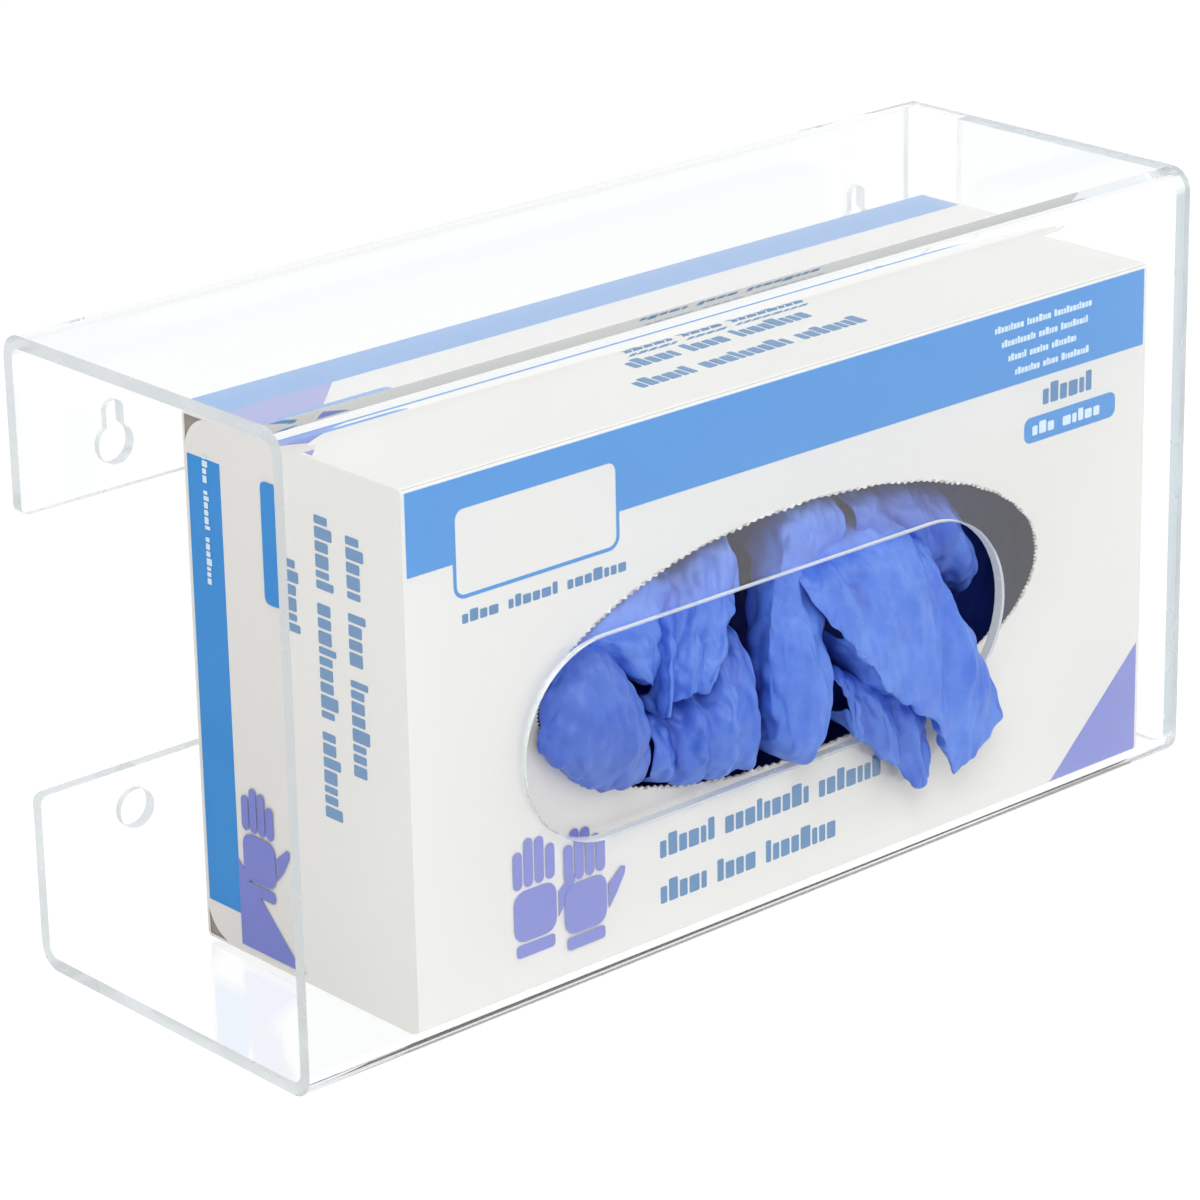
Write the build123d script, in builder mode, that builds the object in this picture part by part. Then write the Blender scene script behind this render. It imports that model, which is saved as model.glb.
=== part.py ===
"""Wall holder for one carton of disposable gloves, with the carton and its gloves.

Frame: +X along the length, the wall plane is y = 0 and the front faces -Y, +Z is up.
The origin is the centre of the four wall holes. All sizes are in millimetres.
"""
from build123d import *
import os
from math import sin, sqrt

os.makedirs("parts", exist_ok=True)

# Holder: one clear acrylic sheet, sawn, cut out and folded four times
sheet_thickness = 3.0
bend_inner_radius = 2.5
holder_length = 262.0
holder_depth = 92.5
holder_height = 143.5
flange_height = 40.0
flange_corner_radius = 2.0

# Hand opening in the front panel
hand_opening_length = 142.0
hand_opening_height = 45.0
hand_opening_below_oval = 6.7
hand_opening_edge_break = 0.4

# Wall holes: keyholes in the upper flange, round holes in the lower one
hole_inset = 25.0
right_hole_inset = 17.0
hole_edge_distance = 10.0
head_hole_diameter = 9.0
slot_width = 4.5
slot_rise = 7.5

# End plate glued into the right end
end_plate_thickness = 3.0
end_plate_back_gap = 22.0
end_plate_corner_clearance = 0.4

# Carton: one blank of printed board
board_thickness = 0.5
fold_radius = 1.0
carton_inset = 31.3
carton_end_gap = 7.7
carton_front_gap = 1.5
carton_back_gap = 18.0
carton_headroom = 17.5
tear_oval_length = 150.0
tear_oval_height = 60.0
end_flap_corner_radius = 9.0
under_flap_reach = 48.0
dust_flap_reach = 32.0
dust_flap_taper = 4.0

# Printed fields of the carton
ink_thickness = 0.1
band_height = 19.0
end_band_width = 11.0
end_band_inset = 1.2
top_band_width = 12.0
badge_inset = 13.0
badge_length = 45.0
badge_height = 20.0
badge_drop = 8.0
badge_corner_radius = 3.0
badge_line_width = 0.8
triangle_width = 30.0
triangle_height = 28.0
size_bar_length = 30.0
size_bar_height = 6.0
size_bar_inset = 10.0
size_bar_drop = 9.0
text_height = 5.0
text_pitch = 10.5
text_gap = 3.0
text_inset = 68.0
text_below_oval = 6.0
lower_line_words = (40.0, 26.0)
upper_line_words = (11.0, 15.0, 24.0, 20.0)
end_text_width = 2.6
end_text_pitch = 9.0
end_text_lengths = (58.0, 34.0)
end_text_inset = 24.0
end_text_base = 22.0
hand_sign_inset = 44.0
hand_sign_base = 8.0
hand_sign_palm = 11.0
finger_width = 2.2
finger_length = 8.0
finger_pitch = 2.8

# Gloves: the stack inside and the folds that are pulled out through the openings
stack_end_clearance = 20.0
stack_front_clearance = 23.0
stack_headroom = 14.0
stack_layers = 6
stack_layer_inset = 1.6
stack_corner_radius = 14.0
seat_gap = 0.3
fold_gap = 0.4
glove_thickness = 3.2
pleat_depth = 3.0
pinch = 3.5
turn_height = 3.0
shoulder_drop = 6.0
hanging_root_rise = 2.0
hanging_tips = ((46.0, 4.5, 19.5, 20.5, 58.0), (65.0, 2.0, 29.5, 58.0, 67.5))

# Sizes and places that follow from the sizes above
hole_pitch = holder_length - hole_inset - right_hole_inset
carton_length = holder_length - carton_inset - carton_end_gap - end_plate_thickness
carton_depth = holder_depth - sheet_thickness - carton_front_gap - carton_back_gap
carton_height = holder_height - 2 * sheet_thickness - carton_headroom
text_base = (carton_height - tear_oval_height) / 2 - text_below_oval - text_height - text_pitch
stack_length = carton_length - stack_end_clearance
stack_depth = carton_depth - stack_front_clearance
stack_height = carton_height - stack_headroom
left_end = -(hole_inset + hole_pitch / 2)
right_end = left_end + holder_length
top = holder_height / 2
bottom = -holder_height / 2
front = -holder_depth
floor = bottom + sheet_thickness
opening_x = left_end + holder_length / 2
upper_hole_z = top - flange_height + hole_edge_distance
lower_hole_z = bottom + flange_height - hole_edge_distance
panel_back = front + sheet_thickness
carton_left = left_end + carton_inset
carton_right = carton_left + carton_length
carton_front = panel_back + carton_front_gap
carton_back = carton_front + carton_depth
carton_top = floor + carton_height
carton_x = carton_left + carton_length / 2
carton_y = (carton_front + carton_back) / 2
carton_z = floor + carton_height / 2
opening_z = carton_z - hand_opening_below_oval
stack_front = carton_back - board_thickness - seat_gap - stack_depth


def export(builder: BuildPart, name: str) -> None:
    """Label the finished piece and write its STEP file."""
    builder.part.label = name
    export_step(builder.part, "parts/" + name + ".step")


# Folded holder sheet
with BuildPart() as holder_sheet:
    with BuildSketch(Plane.YZ.offset(left_end)):
        with BuildLine():
            outer = FilletPolyline(
                (0, top - flange_height),
                (0, top),
                (front, top),
                (front, bottom),
                (0, bottom),
                (0, bottom + flange_height),
                radius=bend_inner_radius + sheet_thickness,
            )
            inner = FilletPolyline(
                (-sheet_thickness, top - flange_height),
                (-sheet_thickness, top - sheet_thickness),
                (panel_back, top - sheet_thickness),
                (panel_back, floor),
                (-sheet_thickness, floor),
                (-sheet_thickness, bottom + flange_height),
                radius=bend_inner_radius,
            )
            Line(outer @ 0, inner @ 0)
            Line(outer @ 1, inner @ 1)
        make_face()
    extrude(amount=holder_length)
    # rounded free corners of both flanges
    flange_ends = holder_sheet.edges().filter_by(Axis.Y).filter_by_position(
        Axis.Z, bottom + flange_height, top - flange_height)
    fillet(flange_ends, radius=flange_corner_radius)
    # hand opening through the front panel, its edges lightly broken
    with BuildSketch(Plane.XZ.offset(holder_depth)):
        with Locations((opening_x, opening_z)):
            SlotOverall(hand_opening_length, hand_opening_height)
    extrude(amount=-sheet_thickness, mode=Mode.SUBTRACT)
    opening_edges = holder_sheet.edges(Select.LAST).filter_by(Axis.Y, reverse=True)
    chamfer(opening_edges, length=hand_opening_edge_break)
    # keyholes in the upper flange
    with BuildSketch(Plane.XZ):
        with Locations((0, upper_hole_z)):
            with GridLocations(hole_pitch, 0, 2, 1):
                Circle(head_hole_diameter / 2)
        with Locations((0, upper_hole_z + slot_rise / 2)):
            with GridLocations(hole_pitch, 0, 2, 1):
                SlotCenterToCenter(slot_rise, slot_width, rotation=90)
    extrude(amount=sheet_thickness, mode=Mode.SUBTRACT)
    # round holes in the lower flange
    with BuildSketch(Plane.XZ):
        with Locations((0, lower_hole_z)):
            with GridLocations(hole_pitch, 0, 2, 1):
                Circle(head_hole_diameter / 2)
    extrude(amount=sheet_thickness, mode=Mode.SUBTRACT)
export(holder_sheet, "holder_sheet")

# End plate, seated on the inside of the top, front and bottom panels
with BuildPart() as end_plate:
    with BuildSketch(Plane.YZ.offset(right_end - end_plate_thickness)) as plate_outline:
        with BuildLine():
            Polyline(
                (-end_plate_back_gap, floor),
                (-end_plate_back_gap, top - sheet_thickness),
                (panel_back, top - sheet_thickness),
                (panel_back, floor),
                close=True,
            )
        make_face()
        front_corners = plate_outline.vertices().group_by(Axis.X)[0]
        fillet(front_corners, radius=bend_inner_radius + end_plate_corner_clearance)
    extrude(amount=end_plate_thickness)
export(end_plate, "end_plate")

# Carton: a tube of four walls, closed at each end by two dust flaps, an under flap and an outer flap
with BuildPart() as carton:
    with BuildSketch(Plane.YZ.offset(carton_left)):
        with Locations((carton_y, carton_z)):
            RectangleRounded(carton_depth, carton_height, fold_radius)
            RectangleRounded(
                carton_depth - 2 * board_thickness,
                carton_height - 2 * board_thickness,
                fold_radius - board_thickness,
                mode=Mode.SUBTRACT,
            )
    extrude(amount=carton_length)
    for end_x, inward in ((carton_left, 1), (carton_right, -1)):
        # outer flap, hinged at the front fold, its free corners rounded
        with BuildSketch(Plane.YZ.offset(end_x)) as outer_flap:
            with Locations((carton_y, carton_z)):
                Rectangle(carton_depth - board_thickness, carton_height - board_thickness)
            fillet(outer_flap.vertices().group_by(Axis.X)[-1], radius=end_flap_corner_radius)
        extrude(amount=inward * board_thickness)
        # under flap, hinged at the back fold
        with BuildSketch(Plane.YZ.offset(end_x + inward * board_thickness)):
            with Locations((carton_back - board_thickness / 2 - under_flap_reach / 2, carton_z)):
                Rectangle(under_flap_reach, carton_height - board_thickness)
        extrude(amount=inward * board_thickness)
        # tapered dust flaps, hinged at the bottom and the top
        with BuildSketch(Plane.YZ.offset(end_x + inward * 2 * board_thickness)):
            for root, reach in ((floor + board_thickness, dust_flap_reach),
                                (carton_top - board_thickness, -dust_flap_reach)):
                with BuildLine():
                    Polyline(
                        (carton_front + fold_radius, root),
                        (carton_back - fold_radius, root),
                        (carton_back - fold_radius - dust_flap_taper, root + reach),
                        (carton_front + fold_radius + dust_flap_taper, root + reach),
                        close=True,
                    )
                make_face()
        extrude(amount=inward * board_thickness)
    # oval torn out of the front wall
    with BuildSketch(Plane.XZ.offset(-carton_front)):
        with Locations((carton_x, carton_z)):
            Ellipse(tear_oval_length / 2, tear_oval_height / 2)
    extrude(amount=-board_thickness, mode=Mode.SUBTRACT)
export(carton, "carton")

# Planes of the printed faces: the front and top ones start at their lower left corner,
# the end ones at their lower back corner
front_face = Plane(origin=(carton_left, carton_front, floor), x_dir=(1, 0, 0), z_dir=(0, -1, 0))
left_face = Plane(origin=(carton_left, carton_back, floor), x_dir=(0, -1, 0), z_dir=(-1, 0, 0))
right_face = Plane(origin=(carton_right, carton_back, floor), x_dir=(0, 1, 0), z_dir=(1, 0, 0))
top_face = Plane(origin=(carton_left, carton_front, carton_top), x_dir=(1, 0, 0), z_dir=(0, 0, 1))
print_length = carton_length - 2 * fold_radius
print_height = carton_height - fold_radius
badge_x = badge_inset + badge_length / 2
badge_z = carton_height - band_height - badge_drop + badge_height / 2
badge_inner_radius = badge_corner_radius - badge_line_width

# Blue ink: bands along the back and top folds, outline of the badge and the size bar
with BuildPart() as blue_print:
    with BuildSketch(front_face):
        with Locations((carton_length / 2, print_height - (band_height - fold_radius) / 2)):
            Rectangle(print_length, band_height - fold_radius)
        with Locations((badge_x, badge_z)):
            RectangleRounded(badge_length, badge_height, badge_corner_radius)
            RectangleRounded(
                badge_length - 2 * badge_line_width,
                badge_height - 2 * badge_line_width,
                badge_inner_radius,
                mode=Mode.SUBTRACT,
            )
        size_bar_x = carton_length - size_bar_inset - size_bar_length / 2
        size_bar_z = carton_height - band_height - size_bar_drop - size_bar_height / 2
        with Locations((size_bar_x, size_bar_z)):
            RectangleRounded(size_bar_length, size_bar_height, size_bar_height / 3)
    extrude(amount=ink_thickness)
    for end_face, forward in ((left_face, 1), (right_face, -1)):
        with BuildSketch(end_face):
            with Locations((forward * (end_band_inset + end_band_width / 2), carton_height / 2)):
                Rectangle(end_band_width, carton_height - 2 * end_flap_corner_radius)
        extrude(amount=ink_thickness)
    with BuildSketch(top_face):
        with Locations((carton_length / 2, carton_depth - fold_radius - top_band_width / 2)):
            Rectangle(print_length, top_band_width)
    extrude(amount=ink_thickness)
export(blue_print, "blue_print")

# Grey ink: bars in place of the lines of text, and a plain sign of a hand
with BuildPart() as grey_print:
    with BuildSketch(front_face):
        for row, words in enumerate((lower_line_words, upper_line_words)):
            word_start = text_inset
            for word in words:
                with Locations((word_start + word / 2, text_base + row * text_pitch)):
                    Rectangle(word, text_height)
                word_start += word + text_gap
        with Locations((hand_sign_inset, hand_sign_base + hand_sign_palm / 2)):
            RectangleRounded(hand_sign_palm, hand_sign_palm, hand_sign_palm / 4)
        with Locations((hand_sign_inset, hand_sign_base + hand_sign_palm)):
            with GridLocations(finger_pitch, 0, 4, 1):
                SlotOverall(2 * finger_length, finger_width, rotation=90)
    extrude(amount=ink_thickness)
    for end_face, forward in ((left_face, 1), (right_face, -1)):
        with BuildSketch(end_face):
            for column, length in enumerate(end_text_lengths):
                column_place = forward * (end_text_inset + column * end_text_pitch)
                with Locations((column_place, end_text_base + length / 2)):
                    Rectangle(end_text_width, length)
        extrude(amount=ink_thickness)
export(grey_print, "grey_print")

# Lilac ink: the triangles in the lower right corner of the front
with BuildPart() as lilac_print:
    with BuildSketch(front_face):
        with BuildLine():
            Polyline(
                (carton_length - fold_radius, fold_radius),
                (carton_length - fold_radius, triangle_height),
                (carton_length - triangle_width, fold_radius),
                close=True,
            )
        make_face()
    extrude(amount=ink_thickness)
    with BuildSketch(top_face):
        with BuildLine():
            Polyline(
                (fold_radius, carton_depth - fold_radius - top_band_width),
                (fold_radius, carton_depth - fold_radius - top_band_width - triangle_height),
                (triangle_width, carton_depth - fold_radius - top_band_width),
                close=True,
            )
        make_face()
    extrude(amount=ink_thickness)
export(lilac_print, "lilac_print")

# Stack of folded gloves, lying against the back wall of the carton, layer by layer
with BuildPart() as glove_stack:
    layer_depth = stack_depth / stack_layers
    for layer in range(stack_layers):
        inset = stack_layer_inset * (1 + sin(2.1 * layer))
        with BuildSketch(Plane.XZ.offset(-(stack_front + layer * layer_depth))):
            with Locations((carton_x, floor + board_thickness + stack_height / 2)):
                RectangleRounded(stack_length - inset, stack_height - inset, stack_corner_radius)
        extrude(amount=-layer_depth)
export(glove_stack, "glove_stack")


def oval_half_length(z: float) -> float:
    """Half length of the carton's oval at height z."""
    rise = (z - carton_z) / (tear_oval_height / 2)
    return tear_oval_length / 2 * sqrt(max(1 - rise * rise, 0))


def slot_half_length(z: float) -> float:
    """Half length of the panel's hand opening at height z."""
    end_radius = hand_opening_height / 2
    rise = z - opening_z
    return hand_opening_length / 2 - end_radius + sqrt(max(end_radius**2 - rise * rise, 0))


def fold_section(x_low: float, x_high: float, y_front: float, y_back: float, z: float, pleats: int) -> Face:
    """Draw one level section of a glove: straight sides and back, and a pleated front."""
    valley = y_front + pleat_depth * min(1, (y_back - y_front) / (4 * pleat_depth))
    steps = 2 * pleats
    crests = [
        (x_low + (x_high - x_low) * step / steps, y_front if step % 2 else valley)
        for step in range(steps + 1)
    ]
    with BuildSketch(Plane.XY.offset(z), mode=Mode.PRIVATE) as section:
        with BuildLine():
            Polyline(*crests, (x_high, y_back), (x_low, y_back), close=True)
        make_face()
    return section.sketch.face()


# Each glove: left and right side at its mid height, foot and crown, lean, reach past the panel.
# Sides are measured from the middle of the hand opening, heights from the middle of the oval.
glove_folds = {
    "glove_left": (-67.0, -42.0, -16.5, 15.0, 0.0, 5.5),
    "glove_middle": (-33.5, -11.0, -26.5, 1.0, 0.3, 5.0),
    "glove_pleated": (-37.5, -13.0, 1.5, 26.0, 0.3, 4.0),
    "glove_peak": (-5.0, 18.0, -28.4, 29.0, 0.05, 6.5),
    "glove_hanging": (18.8, 68.0, -27.0, 21.0, 0.05, 7.0),
}
glove_pleats = {
    "glove_left": 2,
    "glove_middle": 2,
    "glove_pleated": 3,
    "glove_peak": 1,
    "glove_hanging": 3,
}
window_low = max(opening_z - hand_opening_height / 2, carton_z - tear_oval_height / 2) + fold_gap
window_high = opening_z + hand_opening_height / 2 - fold_gap
glove_back = stack_front - seat_gap
behind_panel = panel_back + fold_gap


def glove_sections(
    x_low: float, x_high: float, foot: float, crown: float, lean: float, reach: float, pleats: int
) -> list[Face]:
    """Level sections of one glove's visible folds, from its foot to its crown, through both openings."""
    foot_z = max(carton_z + foot, window_low)
    crown_z = carton_z + crown
    levels = [foot_z, foot_z + turn_height, (foot_z + min(crown_z, window_high)) / 2]
    if crown_z > window_high:
        levels += [window_high - shoulder_drop, window_high, crown_z]
    else:
        levels += [crown_z - turn_height, crown_z]
    sections = []
    for z in levels:
        swing = lean * (z - (foot_z + crown_z) / 2)
        end_pinch = pinch if z in (foot_z, crown_z) else 0
        low = max(
            opening_x + x_low + swing + end_pinch,
            carton_x - oval_half_length(z) + fold_gap,
            opening_x - slot_half_length(min(z, window_high)) + fold_gap,
        )
        high = min(
            opening_x + x_high + swing - end_pinch,
            carton_x + oval_half_length(z) - fold_gap,
            opening_x + slot_half_length(min(z, window_high)) - fold_gap,
        )
        if z >= window_high:
            y_front = behind_panel
        elif z in (foot_z, crown_z):
            y_front = front - reach / 2
        else:
            y_front = front - reach
        sections.append(fold_section(low, high, y_front, glove_back, z, pleats))
    return sections


def tip_sections(tip_x: float, tip_half: float, tip_z: float, root_low: float, root_high: float) -> list[Face]:
    """Level sections of a finger that hangs down over the front of the panel."""
    back = front - fold_gap
    return [
        fold_section(opening_x + low, opening_x + high, back - glove_thickness, back, z, 1)
        for z, low, high in (
            (opening_z + hanging_root_rise, root_low, root_high),
            (window_low, root_low, root_high),
            (bottom + tip_z, tip_x - tip_half, tip_x + tip_half),
        )
    ]


for glove_name, fold in glove_folds.items():
    with BuildPart() as glove:
        loft(glove_sections(*fold, glove_pleats[glove_name]), ruled=True)
        if glove_name == "glove_hanging":
            for tip in hanging_tips:
                loft(tip_sections(*tip), ruled=True)
    export(glove, glove_name)
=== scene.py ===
"""Looks of the disposable glove dispenser: clear wall holder, printed carton and blue gloves.

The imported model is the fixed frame, in metres. +X runs along the length, the front faces -Y and
the wall plane is y = 0. Sizes below are in millimetres and turned to metres where meshes are made.
"""

import logging
import math
from dataclasses import dataclass, field
from enum import Enum

import bpy
from mathutils import Matrix, Vector, noise


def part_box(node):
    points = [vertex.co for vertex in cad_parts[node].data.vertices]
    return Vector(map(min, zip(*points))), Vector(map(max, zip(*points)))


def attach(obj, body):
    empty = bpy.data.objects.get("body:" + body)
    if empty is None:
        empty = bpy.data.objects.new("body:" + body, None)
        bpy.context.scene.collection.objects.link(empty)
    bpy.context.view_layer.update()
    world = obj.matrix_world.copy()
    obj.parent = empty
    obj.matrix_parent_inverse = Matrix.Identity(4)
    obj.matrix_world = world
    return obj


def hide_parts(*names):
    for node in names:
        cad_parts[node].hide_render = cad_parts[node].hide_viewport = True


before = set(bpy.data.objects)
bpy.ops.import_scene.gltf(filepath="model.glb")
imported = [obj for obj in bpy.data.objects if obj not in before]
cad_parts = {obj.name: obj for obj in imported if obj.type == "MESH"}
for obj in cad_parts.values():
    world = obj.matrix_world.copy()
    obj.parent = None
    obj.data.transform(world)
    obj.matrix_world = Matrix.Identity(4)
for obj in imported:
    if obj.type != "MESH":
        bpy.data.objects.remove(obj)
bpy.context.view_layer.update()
LOG = logging.getLogger("glove_dispenser")
MM = 0.001
# The colour sockets of a Mix node share their names with its other sockets, so they go by number.
COLOUR_A, COLOUR_B, MIXED_COLOUR = 6, 7, 2


def linear(colour: str) -> tuple[float, float, float, float]:
    """Turn an sRGB hex colour into linear light, by the sRGB curve.

    Args:
        colour: Six hex digits after a #.

    Returns:
        Red, green, blue and an alpha of 1.
    """
    parts = [int(colour[i:i + 2], 16) / 255 for i in (1, 3, 5)]
    light = (c / 12.92 if c <= 0.04045 else ((c + 0.055) / 1.055) ** 2.4 for c in parts)
    return (*light, 1.0)


def node(tree: bpy.types.NodeTree, kind: str, values: dict | None = None,
         links: dict | None = None, **settings: object) -> bpy.types.Node:
    """Add a shader node.

    Args:
        tree: The material's node tree.
        kind: The node's type name.
        values: Input name or number to constant.
        links: Input name or number to the socket that feeds it.
        **settings: The node's own settings.

    Returns:
        The new node.
    """
    made = tree.nodes.new(kind)
    for name, value in settings.items():
        setattr(made, name, value)
    for name, value in (values or {}).items():
        made.inputs[name].default_value = value
    for name, source in (links or {}).items():
        tree.links.new(source, made.inputs[name])
    return made


def empty_material(name: str) -> tuple[bpy.types.Material, bpy.types.NodeTree, bpy.types.Node]:
    """Make a material with nothing but an output.

    Args:
        name: The material's name.

    Returns:
        The material, its tree and its output node.
    """
    material = bpy.data.materials.new(name)
    material.use_nodes = True
    tree = material.node_tree
    tree.nodes.clear()
    return material, tree, tree.nodes.new("ShaderNodeOutputMaterial")


@dataclass(frozen=True)
class ClearAcrylic:
    """Cast acrylic sheet, line bent: clear, glossy and colourless through its faces.

    The edges are sawn, scraped and flame polished. They look pale and frosty beside the clear
    faces, and a faint painted glow on them stands in for the light that they gather from the whole
    sheet.

    Attributes:
        name: The material's name.
        tint: Colour of the clear sheet.
        edge: Colour of its frosted edges.
        ior: Index of refraction of acrylic.
        lets_lamps_through: Colour of the light that passes the sheet.
        scraper_marks: Scraper marks in a metre of edge, 1.4 mm apart, coarse enough to show.
        flame_streaks: Streaks of the flame in a metre of edge, 17 mm apart.
        edge_transmission: Share of light that an edge lets in.
        painted_edge_glow: The faint light that an edge gathers from the sheet.
        slabs: Where the upright panels lie, just inside their two faces. What shows there is rim.
        flat_reach: How far above and below the middle the panels are flat, short of the bends.
        end_turn: How squarely a surface must face along the length to be an end edge.
        plate_turn: On a plate that faces along the length, below what turn a surface is edge.
        faces_the_side: Whether this is such a plate.
        bounces: Past how many bounces a ray is let out, which keeps the bends from going dark.
    """

    name: str = "cast_acrylic_line_bent"
    tint: str = "#FCFDFD"
    edge: str = "#DFE4E6"
    ior: float = 1.49
    lets_lamps_through: str = "#F6F8F9"
    scraper_marks: float = 700.0
    flame_streaks: float = 60.0
    edge_transmission: float = 0.35
    painted_edge_glow: float = 0.04
    slabs: tuple[tuple[float, float], ...] = ((-2.95, -0.05), (-92.45, -89.55))
    flat_reach: float = 64.0
    end_turn: float = 0.8
    plate_turn: float = 0.2
    faces_the_side: bool = False
    bounces: float = 4.5

    def frosted(self, tree: bpy.types.NodeTree, place: bpy.types.Node) -> bpy.types.NodeSocket:
        """Make the scraped and flame polished look of the edges, with a faint painted glow.

        Args:
            tree: The material's tree.
            place: Its texture coordinates.

        Returns:
            The shader's socket.
        """
        grain = node(tree, "ShaderNodeTexNoise", {"Scale": self.scraper_marks, "Detail": 2.0},
                     {"Vector": place.outputs["Object"]})
        streak = node(tree, "ShaderNodeTexNoise", {"Scale": self.flame_streaks, "Detail": 3.0},
                      {"Vector": place.outputs["Object"]})
        frost = node(tree, "ShaderNodeBump", {"Strength": 0.25, "Distance": 0.2 * MM},
                     {"Height": grain.outputs["Fac"]})
        shine = node(tree, "ShaderNodeMapRange", {
            "From Min": 0.35, "From Max": 0.65, "To Min": 0.12, "To Max": 0.45},
            {"Value": streak.outputs["Fac"]})
        # The faint emission on the edges is painted light, for the light that they gather from the
        # sheet.
        edge = node(tree, "ShaderNodeBsdfPrincipled", {
            "Base Color": linear(self.edge), "IOR": self.ior,
            "Transmission Weight": self.edge_transmission,
            "Emission Color": linear(self.edge), "Emission Strength": self.painted_edge_glow},
            {"Roughness": shine.outputs[0], "Normal": frost.outputs[0]})
        return edge.outputs["BSDF"]

    def edge_mask(self, tree: bpy.types.NodeTree, place: bpy.types.Node) -> bpy.types.NodeSocket:
        """Find the edges: what faces along the length, and the rims of holes in upright panels.

        Args:
            tree: The material's tree.
            place: Its texture coordinates.

        Returns:
            A socket that is 1 on edges and 0 on faces.
        """
        turn = node(tree, "ShaderNodeSeparateXYZ", links={0: place.outputs["Normal"]})
        side = node(tree, "ShaderNodeMath", links={0: turn.outputs[0]}, operation="ABSOLUTE")
        if self.faces_the_side:
            return node(tree, "ShaderNodeMath", {1: self.plate_turn}, {0: side.outputs[0]},
                        operation="LESS_THAN").outputs[0]
        mask = node(tree, "ShaderNodeMath", {1: self.end_turn}, {0: side.outputs[0]},
                    operation="GREATER_THAN")
        axes = node(tree, "ShaderNodeSeparateXYZ", links={0: place.outputs["Object"]})
        rise = node(tree, "ShaderNodeMath", links={0: axes.outputs[2]}, operation="ABSOLUTE")
        flat = node(tree, "ShaderNodeMath", {1: self.flat_reach * MM}, {0: rise.outputs[0]},
                    operation="LESS_THAN")
        for back, front in self.slabs:
            middle, half = (back + front) / 2 * MM, abs(front - back) / 2 * MM
            inside = node(tree, "ShaderNodeMath", {1: middle, 2: half}, {0: axes.outputs[1]},
                          operation="COMPARE")
            rim = node(tree, "ShaderNodeMath", links={0: inside.outputs[0], 1: flat.outputs[0]},
                       operation="MULTIPLY")
            mask = node(tree, "ShaderNodeMath", links={0: mask.outputs[0], 1: rim.outputs[0]},
                        operation="MAXIMUM")
        return mask.outputs[0]

    def build(self) -> bpy.types.Material:
        """Make the material: refractive to the eye, see-through for lamps, frosted on the edges.

        Returns:
            The new material.
        """
        material, tree, output = empty_material(self.name)
        place = node(tree, "ShaderNodeTexCoord")
        sheet = node(tree, "ShaderNodeBsdfPrincipled", {
            "Base Color": linear(self.tint), "Roughness": 0.0, "IOR": self.ior,
            "Transmission Weight": 1.0})
        face = node(tree, "ShaderNodeMixShader", links={
            0: self.edge_mask(tree, place), 1: sheet.outputs["BSDF"],
            2: self.frosted(tree, place)})
        clear = node(tree, "ShaderNodeBsdfTransparent", {
            "Color": linear(self.lets_lamps_through)})
        path = node(tree, "ShaderNodeLightPath")
        late = node(tree, "ShaderNodeMath", {1: self.bounces}, {0: path.outputs["Ray Depth"]},
                    operation="GREATER_THAN")
        let_out = node(tree, "ShaderNodeMixShader", links={
            0: late.outputs[0], 1: face.outputs[0], 2: clear.outputs["BSDF"]})
        mix = node(tree, "ShaderNodeMixShader", links={
            0: path.outputs["Is Shadow Ray"], 1: let_out.outputs[0], 2: clear.outputs["BSDF"]})
        tree.links.new(mix.outputs["Shader"], output.inputs["Surface"])
        return material


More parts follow.
